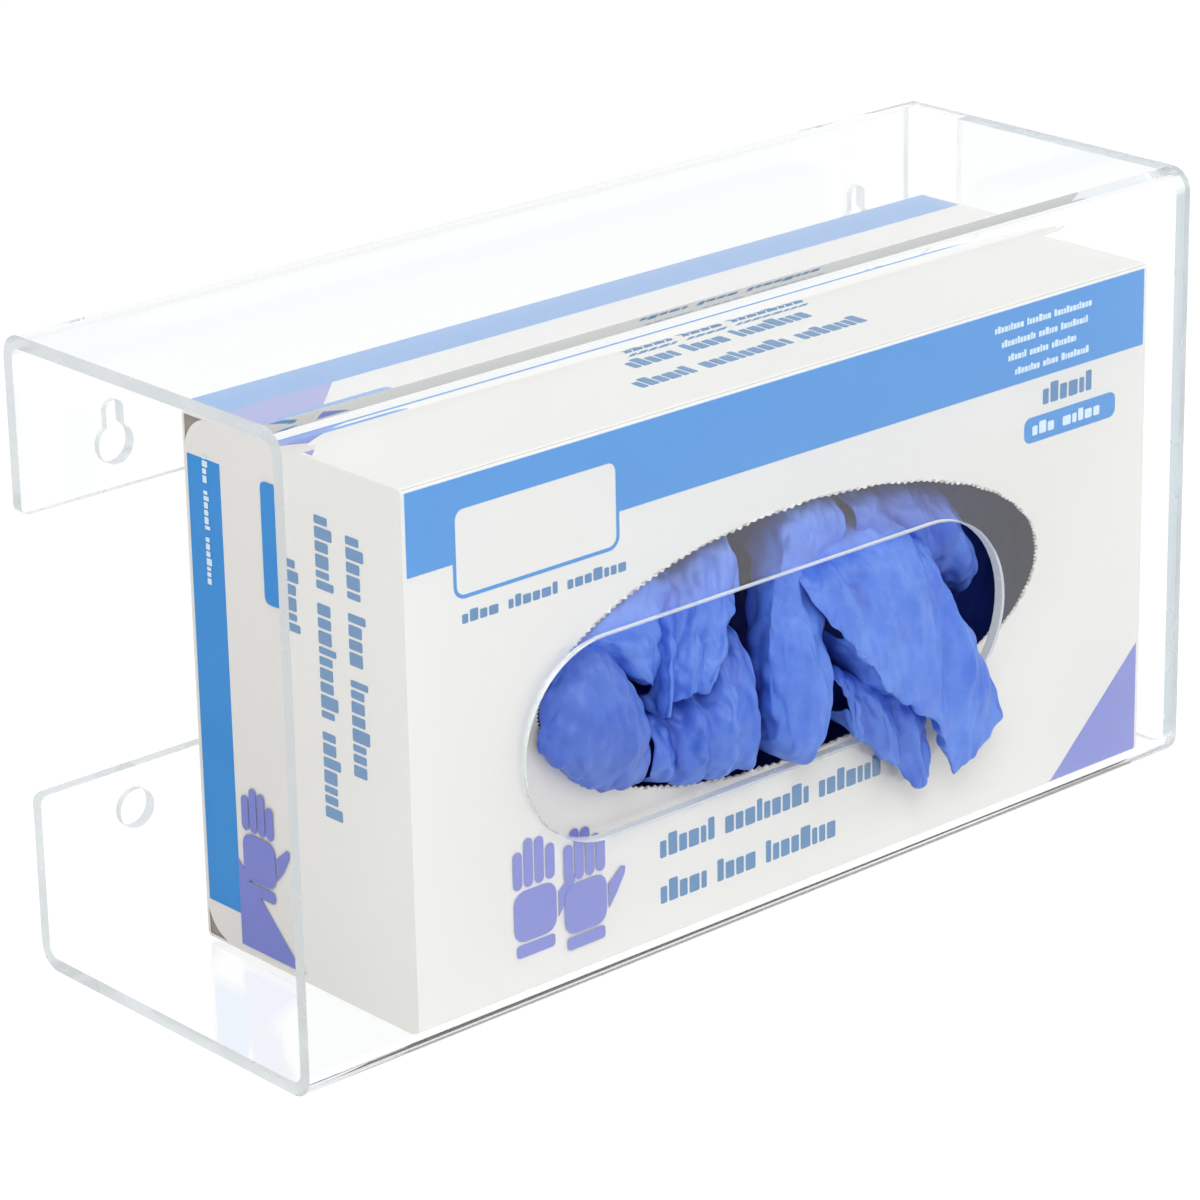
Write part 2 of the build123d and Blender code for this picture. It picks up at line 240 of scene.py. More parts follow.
@dataclass(frozen=True)
class CoatedBoard:
    """Folding box board: clay coated and varnished outside, bare recycled grey pulp inside.

    Attributes:
        low: The carton's lowest corner, in metres.
        high: Its highest corner.
        name: The material's name.
        outside: Colour of the coating.
        outside_shade: Its darker patches.
        inside: Colour of the pulp.
        inside_shade: Its darker flecks.
        skin: How deep under the carton's outline a point still counts as the coating.
        fibres: Fibres in a metre of pulp, 1.1 mm apart, coarser than real ones so that they show.
        clouds: Patches in a metre of coating, 70 mm apart.
        pulp_roughness: Roughness of the pulp.
        coat_roughness: Roughness of the coating.
    """

    low: tuple[float, float, float]
    high: tuple[float, float, float]
    name: str = "coated_folding_board"
    outside: str = "#EBE8E4"
    outside_shade: str = "#E4E1DC"
    inside: str = "#A9A39B"
    inside_shade: str = "#8F8980"
    skin: float = 0.25
    fibres: float = 900.0
    clouds: float = 14.0
    pulp_roughness: float = 0.9
    coat_roughness: float = 0.42

    def coated(self, tree: bpy.types.NodeTree, place: bpy.types.Node) -> bpy.types.NodeSocket:
        """Tell the carton's outer skin from all that lies inside it.

        Args:
            tree: The material's tree.
            place: Its texture coordinates.

        Returns:
            A socket that is 1 on the coating and 0 on bare pulp.
        """
        centre = [(a + b) / 2 for a, b in zip(self.low, self.high)]
        half = [(b - a) / 2 - self.skin * MM for a, b in zip(self.low, self.high)]
        away = node(tree, "ShaderNodeVectorMath", {1: centre}, {0: place.outputs["Object"]},
                    operation="SUBTRACT")
        size = node(tree, "ShaderNodeVectorMath", links={0: away.outputs[0]},
                    operation="ABSOLUTE")
        share = node(tree, "ShaderNodeVectorMath", {1: half}, {0: size.outputs[0]},
                     operation="DIVIDE")
        axes = node(tree, "ShaderNodeSeparateXYZ", links={0: share.outputs[0]})
        larger = node(tree, "ShaderNodeMath", links={0: axes.outputs[0], 1: axes.outputs[1]},
                      operation="MAXIMUM")
        largest = node(tree, "ShaderNodeMath", links={0: larger.outputs[0], 1: axes.outputs[2]},
                       operation="MAXIMUM")
        return node(tree, "ShaderNodeMath", {1: 1.0}, {0: largest.outputs[0]},
                    operation="GREATER_THAN").outputs[0]

    def build(self) -> bpy.types.Material:
        """Make the material, grey wherever a point lies inside the carton's outer skin.

        Returns:
            The new material.
        """
        material, tree, output = empty_material(self.name)
        place = node(tree, "ShaderNodeTexCoord")
        coated = self.coated(tree, place)
        fibre = node(tree, "ShaderNodeTexNoise", {"Scale": self.fibres, "Detail": 4.0},
                     {"Vector": place.outputs["Object"]})
        cloud = node(tree, "ShaderNodeTexNoise", {"Scale": self.clouds, "Detail": 2.0},
                     {"Vector": place.outputs["Object"]})
        pulp = node(tree, "ShaderNodeMix", {
            COLOUR_A: linear(self.inside), COLOUR_B: linear(self.inside_shade)},
            {0: fibre.outputs["Fac"]}, data_type="RGBA")
        coat = node(tree, "ShaderNodeMix", {
            COLOUR_A: linear(self.outside), COLOUR_B: linear(self.outside_shade)},
            {0: cloud.outputs["Fac"]}, data_type="RGBA")
        colour = node(tree, "ShaderNodeMix", links={
            0: coated, COLOUR_A: pulp.outputs[MIXED_COLOUR],
            COLOUR_B: coat.outputs[MIXED_COLOUR]}, data_type="RGBA")
        rough = node(tree, "ShaderNodeMapRange", {
            "To Min": self.pulp_roughness, "To Max": self.coat_roughness}, {"Value": coated})
        grain = node(tree, "ShaderNodeBump", {"Strength": 0.08, "Distance": 0.1 * MM},
                     {"Height": fibre.outputs["Fac"]})
        board = node(tree, "ShaderNodeBsdfPrincipled", {"IOR": 1.5}, {
            "Base Color": colour.outputs[MIXED_COLOUR], "Roughness": rough.outputs[0],
            "Normal": grain.outputs[0]})
        tree.links.new(board.outputs["BSDF"], output.inputs["Surface"])
        return material


@dataclass(frozen=True)
class BareBoard:
    """Torn folding board: matt grey pulp with pale fibres standing out.

    Attributes:
        name: The material's name.
        pulp: Colour of the pulp.
        fibre: Colour of the fibres.
        tufts: Tufts in a metre of torn edge, 1.5 mm apart.
    """

    name: str = "torn_board_fibre"
    pulp: str = "#B9B2A8"
    fibre: str = "#F0ECE6"
    tufts: float = 650.0

    def build(self) -> bpy.types.Material:
        """Make the material, mottled at the scale of torn fibres.

        Returns:
            The new material.
        """
        material, tree, output = empty_material(self.name)
        place = node(tree, "ShaderNodeTexCoord")
        tufts = node(tree, "ShaderNodeTexNoise", {"Scale": self.tufts, "Detail": 5.0},
                     {"Vector": place.outputs["Object"]})
        share = node(tree, "ShaderNodeMapRange", {"From Min": 0.4, "From Max": 0.6},
                     {"Value": tufts.outputs["Fac"]})
        colour = node(tree, "ShaderNodeMix", {
            COLOUR_A: linear(self.pulp), COLOUR_B: linear(self.fibre)},
            {0: share.outputs[0]}, data_type="RGBA")
        fluff = node(tree, "ShaderNodeBump", {"Strength": 0.5, "Distance": 0.2 * MM},
                     {"Height": tufts.outputs["Fac"]})
        board = node(tree, "ShaderNodeBsdfPrincipled", {"Roughness": 0.95}, {
            "Base Color": colour.outputs[MIXED_COLOUR], "Normal": fluff.outputs[0]})
        tree.links.new(board.outputs["BSDF"], output.inputs["Surface"])
        return material


@dataclass(frozen=True)
class OffsetInk:
    """Offset ink on coated board, under a thin dispersion varnish: flat, with a soft gloss.

    Attributes:
        name: The material's name.
        colour: The ink's colour.
        deeper: The same where it lies thicker.
        clouds: Patches of thicker ink in a metre, 17 mm apart.
    """

    name: str
    colour: str
    deeper: str
    clouds: float = 60.0

    def build(self) -> bpy.types.Material:
        """Make the material, with the faint unevenness of a printed solid.

        Returns:
            The new material.
        """
        material, tree, output = empty_material(self.name)
        place = node(tree, "ShaderNodeTexCoord")
        cloud = node(tree, "ShaderNodeTexNoise", {"Scale": self.clouds, "Detail": 5.0},
                     {"Vector": place.outputs["Object"]})
        colour = node(tree, "ShaderNodeMix", {
            COLOUR_A: linear(self.colour), COLOUR_B: linear(self.deeper)},
            {0: cloud.outputs["Fac"]}, data_type="RGBA")
        rough = node(tree, "ShaderNodeMapRange", {"To Min": 0.34, "To Max": 0.46},
                     {"Value": cloud.outputs["Fac"]})
        ink = node(tree, "ShaderNodeBsdfPrincipled", {"IOR": 1.5}, {
            "Base Color": colour.outputs[MIXED_COLOUR], "Roughness": rough.outputs[0]})
        tree.links.new(ink.outputs["BSDF"], output.inputs["Surface"])
        return material


@dataclass(frozen=True)
class NitrileFilm:
    """Dipped nitrile film: satin, finely crazed where it was folded, and it lets some light by.

    Attributes:
        name: The material's name.
        colour: Colour of stretched film.
        deeper: Colour of film that lies slack.
        painted_fold_colour: Colour of the painted shade deep in a fold and inside the carton.
        clouds: Slack patches in a metre of film, 13 mm apart.
        crazing: Fine creases in a metre of film, 2.4 mm apart.
    """

    name: str = "dipped_nitrile_film"
    colour: str = "#6A93EE"
    deeper: str = "#4D76DC"
    painted_fold_colour: str = "#1D2C96"
    clouds: float = 75.0
    crazing: float = 420.0

    def build(self) -> bpy.types.Material:
        """Make the material with fine crazing, soft colour variation and painted shade.

        Returns:
            The new material.
        """
        material, tree, output = empty_material(self.name)
        place = node(tree, "ShaderNodeTexCoord")
        cloud = node(tree, "ShaderNodeTexNoise", {
            "Scale": self.clouds, "Detail": 6.0, "Roughness": 0.65},
            {"Vector": place.outputs["Object"]})
        spread = node(tree, "ShaderNodeMapRange", {"From Min": 0.35, "From Max": 0.65},
                      {"Value": cloud.outputs["Fac"]})
        creases = node(tree, "ShaderNodeTexNoise", {
            "Scale": self.crazing, "Detail": 6.0, "Roughness": 0.6},
            {"Vector": place.outputs["Object"]}, noise_type="RIDGED_MULTIFRACTAL")
        colour = node(tree, "ShaderNodeMix", {
            COLOUR_A: linear(self.colour), COLOUR_B: linear(self.deeper)},
            {0: spread.outputs[0]}, data_type="RGBA")
        # Painted shade from the mesh darkens the film towards its deepest colour in hollows of
        # folds and inside the carton.
        depth = node(tree, "ShaderNodeAttribute", attribute_name="painted_fold_shade")
        shaded = node(tree, "ShaderNodeMix", {COLOUR_B: linear(self.painted_fold_colour)}, {
            0: depth.outputs["Fac"], COLOUR_A: colour.outputs[MIXED_COLOUR]}, data_type="RGBA")
        grain = node(tree, "ShaderNodeBump", {"Strength": 0.3, "Distance": 0.4 * MM},
                     {"Height": creases.outputs["Fac"]})
        film = node(tree, "ShaderNodeBsdfPrincipled", {
            "Roughness": 0.45, "IOR": 1.48, "Subsurface Weight": 0.15,
            "Subsurface Radius": (0.3, 0.5, 1.0), "Subsurface Scale": 1.5 * MM},
            {"Base Color": shaded.outputs[MIXED_COLOUR], "Normal": grain.outputs[0]})
        tree.links.new(film.outputs["BSDF"], output.inputs["Surface"])
        return material


def dress(name: str, material: bpy.types.Material) -> None:
    """Give a carried-over CAD node its better material.

    Args:
        name: The node's name.
        material: Its new material.
    """
    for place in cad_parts[name].material_slots:
        place.material = material


Point = tuple[float, float, float]

# Folds of each glove, in millimetres. A glove is a list of films, a film is a list of folds side
# by side, and a fold runs from inside the carton, out over the rim of the opening, down the front
# and back in.
GLOVE_FOLDS: dict[str, list[list[list[Point]]]] = {
    "glove_left": [[
        [(-60, -70, -6), (-66, -85, -8), (-68.5, -88.5, -9), (-70.5, -90.5, -10.5),
         (-71.2, -91, -12), (-70, -90.5, -14), (-66, -86.5, -16), (-60, -70, -16)],
        [(-58, -70, 2), (-63.5, -86, 1), (-65.5, -89, -1), (-67.5, -93, -4), (-68.5, -95.5, -11),
         (-67.5, -94, -17), (-64, -87, -19.5), (-58, -70, -20)],
        [(-54, -70, 6), (-59, -86, 5.2), (-61, -90, 4.3), (-62.5, -95, 2.0), (-64.5, -100, -9),
         (-63, -96, -20), (-60, -87.5, -24.5), (-54, -70, -25)],
        [(-48, -70, 6), (-55, -86, 5.6), (-56.5, -91, 5.3), (-57, -98, 1.5), (-57, -101, -10),
         (-57, -97, -21), (-56, -87.5, -27.5), (-50, -70, -29)],
        [(-44, -70, 5.4), (-50, -86, 5.0), (-51.5, -91, 3.5), (-52, -99, -2.5), (-52.5, -102, -12),
         (-52, -97.5, -23), (-51, -88, -29.5), (-46, -70, -31)],
        [(-42, -70, 4), (-47, -86, 2.5), (-47.5, -91, -1), (-47.5, -98, -7.5), (-47, -99, -15),
         (-47, -96, -24), (-46, -88, -30.5), (-43, -70, -32)],
        [(-40, -70, 0), (-43.5, -84, -2), (-44, -89, -5), (-43.5, -93, -11), (-42.5, -94, -18),
         (-42, -93, -25), (-42, -88, -31), (-40, -70, -32)],
        [(-38, -70, -4), (-40, -80, -6), (-40.5, -84, -9), (-40, -86, -14), (-39.5, -87, -19),
         (-39.5, -87, -25), (-39.5, -84, -30), (-38, -70, -31)],
    ], [
        [(-60, -70, 7), (-61, -80, 7), (-60, -84, 6.5), (-59, -85, 5), (-57.5, -85, 2),
         (-55, -84, -2), (-53, -80, -4), (-52, -70, -5)],
        [(-54, -70, 9.5), (-54.5, -83, 9.5), (-54.1, -87, 7.9), (-53, -88.6, 6.8), (-50, -91, 5),
         (-47.5, -91, 1), (-45.5, -88, -2), (-44, -75, -3)],
        [(-46, -70, 13.5), (-46, -82, 13), (-45, -86.5, 11.0), (-44, -88.8, 6), (-42.5, -92.5, 1),
         (-40, -93, -6), (-38.5, -90, -9), (-38, -76, -9)],
        [(-37, -70, 16.5), (-37.1, -81, 16), (-37.1, -86.2, 14), (-37, -88.6, 7.5),
         (-36.5, -91, 1.5), (-35.8, -90, -4), (-35.5, -86, -7), (-35, -75, -8)],
        [(-28, -70, 15), (-28, -80, 14), (-28, -84.0, 12), (-29.5, -85.5, 7), (-31, -85.5, 3),
         (-32.5, -84, -1), (-33, -80, -3), (-33, -74, -4)],
        [(-21, -70, 11), (-21.2, -77, 10.5), (-22, -79, 9), (-23.5, -80, 6), (-26, -80, 3),
         (-28, -79, 0), (-29, -77, -1), (-30, -72, -2)],
    ]],
    "glove_pleated": [[
        [(-33, -70, 8), (-33, -79, 7), (-33, -82, 5), (-34.5, -86, 1), (-36, -88, -4),
         (-37, -88.5, -9), (-37.5, -86, -12), (-37, -76, -13)],
        [(-28, -70, 12), (-28, -80, 11), (-28.5, -84.5, 8), (-32, -89.5, 3), (-36, -94.5, -4.5),
         (-38.3, -96.5, -12.5), (-38, -94, -15), (-36, -80, -15)],
        [(-26, -70, 13), (-25.5, -80, 12.5), (-26, -84, 9), (-29, -88, 3), (-33, -92, -4),
         (-35, -93.5, -10), (-35, -91, -13), (-34, -78, -13)],
        [(-21, -70, 17), (-20.5, -81, 16.5), (-21, -86.5, 12), (-25, -90.5, 5), (-29.5, -95, -2),
         (-33, -97.5, -8.5), (-32.5, -95, -12), (-31, -80, -12)],
        [(-18, -70, 18), (-17.5, -81, 17.5), (-17.5, -85.5, 12.5), (-21, -89.5, 5),
         (-25.5, -93, -2), (-29, -95.5, -8.5), (-29.5, -93, -11.5), (-29, -79, -11)],
        [(-14, -70, 19.5), (-13.5, -82, 19), (-13.3, -86.8, 15.5), (-17, -90.5, 5.5),
         (-22, -96, -2), (-27, -98, -9), (-27.5, -95.5, -11.5), (-27, -80, -10)],
        [(-11, -70, 18.5), (-10.8, -80, 18), (-10.5, -85, 13.5), (-13.5, -89, 5), (-18.5, -93, -1),
         (-23.5, -94.5, -8), (-24.5, -92, -10), (-25, -78, -8)],
        [(-8, -70, 14), (-7.8, -80, 13), (-8, -84.5, 10), (-11, -88, 4.5), (-16, -91.5, 0),
         (-21, -92.5, -6), (-22.5, -90, -8), (-23, -76, -6)],
        [(-9, -70, 10), (-9.5, -77, 9), (-10.5, -81, 7), (-13, -84, 2), (-17, -86, -1),
         (-20.5, -87, -5), (-21.5, -84, -6), (-22, -74, -4)],
    ]],
    "glove_middle": [[
        [(-37, -70, -17), (-38, -84, -18), (-38.5, -88, -19), (-39.3, -92, -20.5),
         (-40, -92.5, -23), (-40, -91.5, -27), (-38.5, -87.5, -31), (-37, -70, -33)],
        [(-34, -70, -15), (-36, -84, -16), (-36.5, -89, -17.5), (-37, -93.5, -20.5),
         (-37, -95, -25), (-36.5, -93, -29), (-35.5, -88, -32.5), (-34, -70, -34)],
        [(-31, -70, -14), (-33, -83, -15), (-33.5, -87.5, -16.5), (-34, -91, -19.5),
         (-34, -92.5, -25), (-33.5, -91, -29.5), (-32.5, -87.5, -33), (-31, -70, -34.5)],
        [(-26, -70, -12), (-28, -84, -13), (-28.5, -91, -14.5), (-29.5, -97, -18.5),
         (-30, -99, -23.5), (-29.5, -96, -29.5), (-28.5, -88.5, -33.8), (-27, -70, -35)],
        [(-22, -70, -10), (-24, -82, -11), (-24.5, -88, -13.5), (-25.5, -93.5, -17),
         (-26, -95.5, -23.5), (-25.5, -93, -30), (-24.5, -88, -34.5), (-23, -70, -35.5)],
        [(-17, -70, -5), (-18, -83, -6), (-19, -90, -9), (-21, -97, -15), (-22, -100, -22.5),
         (-21.5, -97, -30.5), (-20.5, -89, -35), (-19, -70, -36)],
        [(-13, -70, -2), (-13.5, -82, -3), (-14.5, -88, -7), (-16, -93, -14), (-17, -95.5, -22.5),
         (-16.5, -94, -30.5), (-16, -89, -35.3), (-15, -70, -36.2)],
        [(-10.5, -70, -1), (-11, -83, -2), (-11.5, -89.5, -5), (-12, -95, -13), (-12.3, -97, -22),
         (-12, -95.5, -31), (-11.5, -89.5, -35.8), (-10.5, -70, -36.5)],
        [(-9.5, -70, -4), (-9.8, -80, -5), (-10, -86, -9), (-10, -90.5, -15), (-10, -92, -23),
         (-9.5, -91, -31), (-9, -88, -35.8), (-9, -70, -36.5)],
        [(-9.5, -70, -8), (-9.5, -76, -9), (-9.5, -80, -12), (-9, -84, -17), (-8.5, -86, -24),
         (-8, -86, -31), (-8, -84, -35.5), (-8, -70, -36)],
    ]],
    "glove_peak": [[
        [(3, -70, 10), (1, -77, 8), (-1, -80, 4), (-4, -83, -4), (-6, -85, -12), (-6, -87, -22),
         (-4.5, -86, -30), (-3, -70, -33)],
        [(5, -70, 17), (4, -82, 16), (2, -87, 10), (-3, -90.5, 2), (-8.2, -94.5, -8.5),
         (-8.7, -96, -21), (-6, -94, -29), (-4, -74, -34)],
        [(7, -70, 20), (6, -83, 19), (4.5, -87.5, 12.5), (0, -91, 2.5), (-5, -96.5, -8),
         (-6, -98.5, -21), (-3.5, -96.5, -33), (-2, -76, -35)],
        [(9, -70, 20), (8.5, -84, 18.5), (7, -88, 11), (3, -92, 1.5), (0.5, -98.5, -7),
         (2.5, -100.5, -19), (2, -97.5, -36.3), (1.5, -78, -35.5)],
        [(13, -70, 20), (13, -84, 18.5), (12, -87.5, 11), (9, -90.5, 2), (6, -97, -8),
         (7.2, -99.5, -17.5), (6.0, -97.5, -28.5), (6, -78, -33)],
        [(17, -70, 19.5), (17, -83, 18), (16.5, -86, 10.5), (13.5, -87, 3), (10.0, -92, -8),
         (9.5, -94, -17), (8.5, -93.5, -25), (9, -76, -31)],
        [(22, -70, 18.5), (22.5, -83, 16.5), (22.5, -86.2, 10), (18, -84.5, 3), (13, -88, -8),
         (11.5, -90, -18), (10.8, -89, -26), (11, -76, -30)],
        [(23, -70, 15), (23.5, -78, 13), (23, -80, 7), (19, -80, 0), (14.5, -82, -8),
         (12, -84, -18), (11.5, -84, -27), (12, -72, -30)],
    ]],
    "glove_hanging": [[
        [(5, -72, 9), (5, -82, 8), (4.5, -88.5, 5.5), (4.5, -93.5, 2), (5.5, -97.5, -2),
         (8.5, -100.5, -6.5), (12, -98.5, -9), (12.5, -92, -10), (14, -78, -10)],
        [(14, -72, 10), (14.5, -84, 8), (13, -90.5, 5.6), (11.5, -97, 1), (10.5, -101, -5),
         (11, -103, -12), (14, -100, -13), (15, -93, -14), (16, -78, -14)],
        [(22, -72, 12), (20.5, -83, 9), (18.5, -89.5, 5.8), (17.5, -94, 0.5), (17, -98.5, -6),
         (16.5, -101.5, -15.5), (18, -98.5, -17), (18, -93, -18), (18, -78, -17)],
        [(28, -72, 12), (26.5, -85, 9.0), (25.4, -91, 6.0), (24, -96, 0), (22.5, -100.5, -9),
         (21, -102, -22.5), (22.5, -99.5, -23.5), (22, -93.5, -24), (22, -80, -22)],
        [(33, -72, 12), (32.0, -85, 8.5), (31, -91, 5.6), (31, -96, -2), (30, -99.5, -14),
         (29.5, -101.5, -28.5), (30, -99, -29), (28.5, -93.5, -28), (28, -80, -24)],
        [(39, -72, 11), (39, -85, 7.5), (38.8, -91, 4.5), (39, -96, -5), (38.5, -99.5, -19),
         (38, -101, -35), (38, -98.5, -35), (36, -93.5, -33), (34, -80, -25)],
        [(42, -72, 9), (42, -84, 6), (42, -90, 1), (43, -94.5, -8), (43.5, -97, -24),
         (43.5, -98.5, -43), (43.5, -96, -43), (42, -93.6, -36.5), (38, -80, -27)],
        [(44, -72, 7), (45, -83, 4), (46, -89, -1), (48, -95, -10), (50.5, -99.5, -25),
         (46.5, -98.5, -50), (46.2, -95.5, -50), (45, -93.6, -36.5), (42, -80, -28)],
        [(46, -72, 4), (47.5, -82, 1), (49, -88, -5), (52, -93.5, -15), (55, -98, -28),
         (52.5, -98.5, -47.5), (52, -95.8, -47), (50, -93.6, -36.5), (46, -80, -28)],
        [(47, -72, 1), (49, -80, -3), (51, -86.5, -9), (54, -92, -19.5), (59, -96.5, -30.5),
         (63.5, -96.5, -42), (62.5, -94.8, -42), (56, -93.6, -34), (50, -80, -28)],
        [(47, -72, -2), (49, -77, -7), (51, -83, -14), (54, -88.5, -22), (57, -93.4, -31),
         (60, -94.4, -40), (59, -93.8, -39.5), (55, -93.2, -33), (50, -78, -27)],
    ], [
        [(12, -78, -18), (12, -88, -18), (11.5, -93, -18.5), (12.5, -95.5, -21), (13.5, -95.5, -24),
         (15.5, -95, -28), (15.5, -93.8, -28), (16, -90, -30), (16, -80, -31)],
        [(15, -78, -18), (15, -88, -18), (15, -94, -19), (15.5, -97, -23), (16, -97.5, -27),
         (16.8, -96, -34), (17, -94, -34), (18, -91, -34), (18, -80, -32)],
        [(18, -78, -20), (18, -87, -20), (18.5, -92.5, -21), (19, -95, -25), (20, -95.5, -30),
         (21.5, -95, -37.5), (21.5, -93.8, -37), (22, -92, -35.5), (22, -80, -33)],
        [(22, -78, -22), (22, -88, -22), (22.5, -94, -23), (23, -98, -28), (24.5, -98.5, -34),
         (27, -97, -42.5), (27, -94.2, -42), (26.5, -93.3, -37.0), (25, -80, -33)],
        [(26, -78, -24), (26, -88, -24), (27, -93, -26), (28, -95.5, -32), (30, -96, -38),
         (32, -95.5, -47), (32, -94, -47), (30, -93.3, -37.0), (28, -80, -33)],
        [(31, -78, -25), (31, -88, -25), (31.5, -94, -27), (33, -98, -33), (35, -98.0, -40),
         (37.5, -97, -52), (37.2, -94.4, -51.8), (34, -93.3, -37.0), (32, -80, -33)],
        [(36, -78, -26), (36, -88, -26), (37, -93, -28), (38, -95.5, -34), (39.5, -95.5, -41),
         (40, -95.5, -50), (39.5, -94.2, -49.5), (37, -93.3, -37.0), (35, -80, -33)],
        [(38, -78, -27), (38, -87, -27), (39.5, -92, -29), (40.5, -94.0, -35), (41, -94.3, -41),
         (41, -94.5, -47), (40.5, -93.8, -46.5), (39, -93.2, -37.0), (37, -80, -33)],
    ], [
        [(24, -68, 18.5), (24.5, -78, 18), (25, -83, 15), (26, -85.5, 11), (27, -85, 5),
         (28, -84, 0), (29, -82, -5), (29, -76, -8), (29, -70, -9)],
        [(30, -68, 18.5), (30, -79, 18), (30.5, -84.5, 15), (32, -87, 11), (33, -85.5, 5),
         (34, -84, 0), (34.5, -82, -5), (35, -76, -8), (35, -70, -9)],
        [(35, -68, 18), (35.5, -77, 17), (36, -81, 14.5), (37.5, -83.5, 10), (38.5, -83, 4),
         (39.5, -82, -1), (40, -80, -6), (41, -76, -9), (41, -70, -10)],
        [(42, -68, 17), (43, -78, 16), (44, -83.5, 13), (45.5, -86.8, 8), (47, -87, 2),
         (48.5, -85.5, -5), (49.5, -82, -9), (50, -76, -12), (50, -70, -13)],
        [(48, -68, 15.5), (49, -76, 14.5), (50, -81, 11.5), (51.5, -84, 6.5), (53, -85, 0.5),
         (54.5, -84.5, -6), (55.5, -81, -11), (56, -76, -13), (56, -70, -14)],
        [(53, -68, 13.5), (54.5, -77, 12.5), (56, -82, 9), (57.5, -85.5, 4), (59.5, -87, -2),
         (61, -87, -9), (61.5, -83, -14), (62, -77, -16), (62, -70, -17)],
        [(57, -68, 11), (59, -75, 9.0), (61, -80, 6), (63, -83.5, 0.5), (64.5, -85.5, -5),
         (66, -85.5, -12), (66, -81, -17), (66, -76, -19), (65, -70, -20)],
        [(60, -68, 8), (62, -72, 5.5), (64, -76, 2), (66, -79, -3), (67.5, -81, -9),
         (68.5, -81, -15), (68, -77, -19), (67, -73, -21), (66, -69, -22)],
    ]],
}

# Painted shade on each film of each glove, from 0 to 1: how much darker its colour is made where it
# lies in shade, most on the stack inside the carton.
PAINTED_FILM_SHADE: dict[str, tuple[float, ...]] = {
    "glove_left": (0.34, 0.08),
    "glove_middle": (0.14,),
    "glove_pleated": (0.06,),
    "glove_peak": (0.02,),
    "glove_hanging": (0.0, 0.2, 0.3),
    "glove_stack": (0.55,),
}


